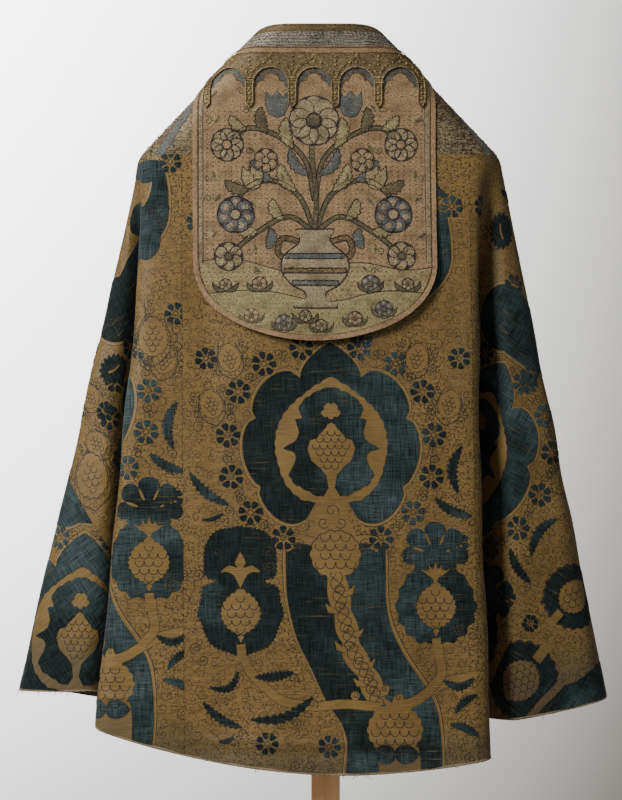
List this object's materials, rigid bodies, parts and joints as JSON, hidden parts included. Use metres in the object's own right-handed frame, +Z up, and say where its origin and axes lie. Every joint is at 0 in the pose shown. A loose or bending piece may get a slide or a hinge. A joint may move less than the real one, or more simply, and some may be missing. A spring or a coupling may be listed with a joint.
{
  "type": "cope vestment on a wooden stand",
  "caption": "Half-circle church cope of voided velvet with embroidered orphrey and shield-shaped hood, draped over a sloping-armed wooden stand and seen from the back.",
  "frame": {"origin": "middle of the underside of the stand's base, on the floor", "axes": "+Z up; the wearer's back faces -Y and the open front +Y; +X to the right as the back is seen"},
  "size_m": [1.1361, 0.5203, 1.6259],
  "materials": {
    "voided_velvet": "teal pile on old-gold satin",
    "gold_embroidery": "couched gold thread",
    "silver_braid": "tarnished silver braid",
    "hood_silk": "silk embroidery",
    "hood_edging_silk": "salmon silk",
    "brown_lining": "plain brown linen",
    "pine_wood": "planed, clear finish"
  },
  "bodies": {
    "root": {"velvet_centre": "voided_velvet", "velvet_inner_left": "voided_velvet", "velvet_inner_right": "voided_velvet", "velvet_outer_left": "voided_velvet", "velvet_outer_right": "voided_velvet", "orphrey_back": "gold_embroidery", "orphrey_front_left": "gold_embroidery", "orphrey_front_right": "gold_embroidery", "lining": "brown_lining", "neck_galloon": "gold_embroidery", "neck_band": "silver_braid", "hood_panel": "hood_silk", "hood_edging": "hood_edging_silk", "hood_arcade": "gold_embroidery", "stand_base": "pine_wood", "stand_post": "pine_wood", "stand_yoke": "pine_wood"}
  },
  "joints": []
}
